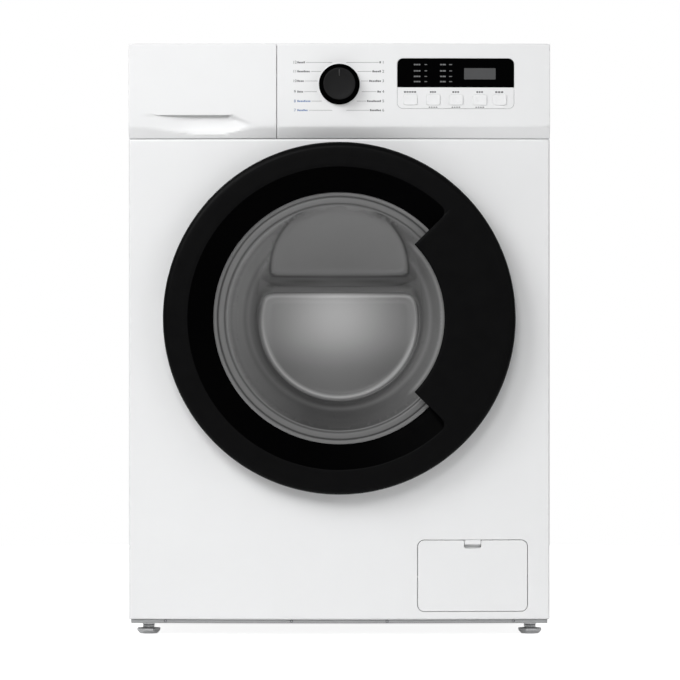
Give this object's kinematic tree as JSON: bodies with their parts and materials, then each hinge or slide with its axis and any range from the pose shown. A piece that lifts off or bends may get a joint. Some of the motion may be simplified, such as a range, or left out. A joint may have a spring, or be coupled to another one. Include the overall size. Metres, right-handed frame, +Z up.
{
  "type": "front load washing machine",
  "caption": "Freestanding front load washing machine with a round black door, a dispenser drawer, a program knob and a drain filter flap.",
  "frame": {"origin": "on the floor under the centre of the machine's bounding box", "axes": "+Z up, +X to the right seen from the front, the front faces -Y"},
  "size_m": [0.6, 0.561, 0.845],
  "materials": {
    "white_paint": "satin powder paint",
    "white_plastic": "smooth white moulding",
    "black_ring": "satin black moulding",
    "black_knob": "fine matt black",
    "display_black": "polished",
    "dark_plastic": "matt",
    "grey_plastic": "matt moulding",
    "tub_plastic": "glass-filled moulding",
    "glass": "pressed glass",
    "gasket_rubber": "soft grey rubber",
    "hose_rubber": "black rubber",
    "stainless": "brushed",
    "zinc": "zinc plated",
    "cast_aluminium": "cast",
    "concrete": "raw concrete",
    "board": "lacquered board",
    "heater_metal": "heat tinted"
  },
  "bodies": {
    "cabinet": {"cabinet_shell": "white_paint", "front_panel": "white_paint", "rear_cover": "white_paint", "base_tray": "grey_plastic", "worktop": "white_plastic", "control_fascia": "white_plastic", "display_lens": "display_black", "button_panel": "white_plastic", "control_board": "board", "dispenser_housing": "grey_plastic", "inlet_valve": "white_plastic", "fill_hose": "hose_rubber", "tub_fill_bellows": "hose_rubber", "door_gasket": "gasket_rubber", "gasket_clamp": "zinc", "door_lock": "dark_plastic", "hinge_bracket": "zinc", "filter_housing": "grey_plastic", "drain_pump": "dark_plastic", "drain_hose": "grey_plastic", "sump_hose": "hose_rubber", "damper_cylinder_left": "grey_plastic", "damper_cylinder_right": "grey_plastic", "spring_left": "zinc", "spring_right": "zinc"},
    "tub": {"tub_front": "tub_plastic", "tub_rear": "tub_plastic", "counterweight": "concrete", "motor": "cast_aluminium", "heater": "heater_metal", "shaft_bearing": "stainless", "damper_rod_left": "zinc", "damper_rod_right": "zinc", "drive_belt": "dark_plastic"},
    "drum": {"drum_shell": "stainless", "lifter_1": "grey_plastic", "lifter_2": "grey_plastic", "lifter_3": "grey_plastic", "drum_spider": "cast_aluminium", "drum_pulley": "cast_aluminium"},
    "rotor": {"motor_pulley": "zinc"},
    "door": {"door_ring": "black_ring", "door_inner_frame": "grey_plastic", "door_glass": "glass", "hinge_arm": "zinc"},
    "hook": {"door_hook": "zinc"},
    "knob": {"program_knob": "black_knob"},
    "drawer": {"drawer_front": "white_plastic", "drawer_tray": "white_plastic"},
    "flap": {"filter_flap": "white_plastic"},
    "plug": {"filter_plug": "grey_plastic"},
    "key_1": {"button_1": "white_plastic"},
    "key_2": {"button_2": "white_plastic"},
    "key_3": {"button_3": "white_plastic"},
    "key_4": {"button_4": "white_plastic"},
    "key_5": {"button_5": "white_plastic"},
    "foot_front_left": {"foot_front_left": "zinc"},
    "foot_front_right": {"foot_front_right": "zinc"},
    "foot_rear_left": {"foot_rear_left": "zinc"},
    "foot_rear_right": {"foot_rear_right": "zinc"}
  },
  "joints": [
    {"name": "tub_float", "type": "slide", "parent": "cabinet", "child": "tub", "axis": [0, 0, 1], "range_m": [-0.008, 0.008], "stiffness_N_per_m": 10000, "springref_m": 0.02861, "deforming": ["spring_left", "spring_right", "tub_fill_bellows", "sump_hose"]},
    {"name": "drum_spin", "type": "hinge", "parent": "tub", "child": "drum", "pos_m": [0, 0.0275, 0.4525], "axis": [0, 1, 0], "continuous": true},
    {"name": "motor_spin", "type": "hinge", "parent": "tub", "child": "rotor", "pos_m": [-0.04, 0.1955, 0.115], "axis": [0, 1, 0], "continuous": true},
    {"name": "door_hinge", "type": "hinge", "parent": "cabinet", "child": "door", "pos_m": [-0.236, -0.2595, 0.4525], "axis": [0, 0, -1], "range_deg": [0, 110]},
    {"name": "hook_pivot", "type": "hinge", "parent": "door", "child": "hook", "pos_m": [0.2, -0.2365, 0.4525], "axis": [0, 0, 1], "range_deg": [0, 10], "stiffness_Nm_per_rad": 1.5, "springref_deg": -2.86},
    {"name": "knob_turn", "type": "hinge", "parent": "cabinet", "child": "knob", "pos_m": [0, -0.2545, 0.785], "axis": [0, -1, 0], "continuous": true},
    {"name": "drawer_slide", "type": "slide", "parent": "cabinet", "child": "drawer", "axis": [0, -1, 0], "range_m": [0, 0.22]},
    {"name": "flap_hinge", "type": "hinge", "parent": "cabinet", "child": "flap", "pos_m": [0.19, -0.2441, 0.035], "axis": [1, 0, 0], "range_deg": [0, 90]},
    {"name": "plug_turn", "type": "hinge", "parent": "cabinet", "child": "plug", "pos_m": [0.188, -0.1745, 0.085], "axis": [0, 1, 0], "range_deg": [0, 90]},
    {"name": "key_1_press", "type": "slide", "parent": "cabinet", "child": "key_1", "axis": [0, 1, 0], "range_m": [0, 0.0012], "stiffness_N_per_m": 800, "springref_m": -0.0005},
    {"name": "key_2_press", "type": "slide", "parent": "cabinet", "child": "key_2", "axis": [0, 1, 0], "range_m": [0, 0.0012], "stiffness_N_per_m": 800, "springref_m": -0.0005},
    {"name": "key_3_press", "type": "slide", "parent": "cabinet", "child": "key_3", "axis": [0, 1, 0], "range_m": [0, 0.0012], "stiffness_N_per_m": 800, "springref_m": -0.0005},
    {"name": "key_4_press", "type": "slide", "parent": "cabinet", "child": "key_4", "axis": [0, 1, 0], "range_m": [0, 0.0012], "stiffness_N_per_m": 800, "springref_m": -0.0005},
    {"name": "key_5_press", "type": "slide", "parent": "cabinet", "child": "key_5", "axis": [0, 1, 0], "range_m": [0, 0.0012], "stiffness_N_per_m": 800, "springref_m": -0.0005},
    {"name": "foot_front_left_adjust", "type": "slide", "parent": "cabinet", "child": "foot_front_left", "axis": [0, 0, -1], "range_m": [0, 0.015]},
    {"name": "foot_front_right_adjust", "type": "slide", "parent": "cabinet", "child": "foot_front_right", "axis": [0, 0, -1], "range_m": [0, 0.015]},
    {"name": "foot_rear_left_adjust", "type": "slide", "parent": "cabinet", "child": "foot_rear_left", "axis": [0, 0, -1], "range_m": [0, 0.015]},
    {"name": "foot_rear_right_adjust", "type": "slide", "parent": "cabinet", "child": "foot_rear_right", "axis": [0, 0, -1], "range_m": [0, 0.015]}
  ],
  "couplings": [
    {"joint": "motor_spin", "follows": "drum_spin", "ratio": 14}
  ]
}
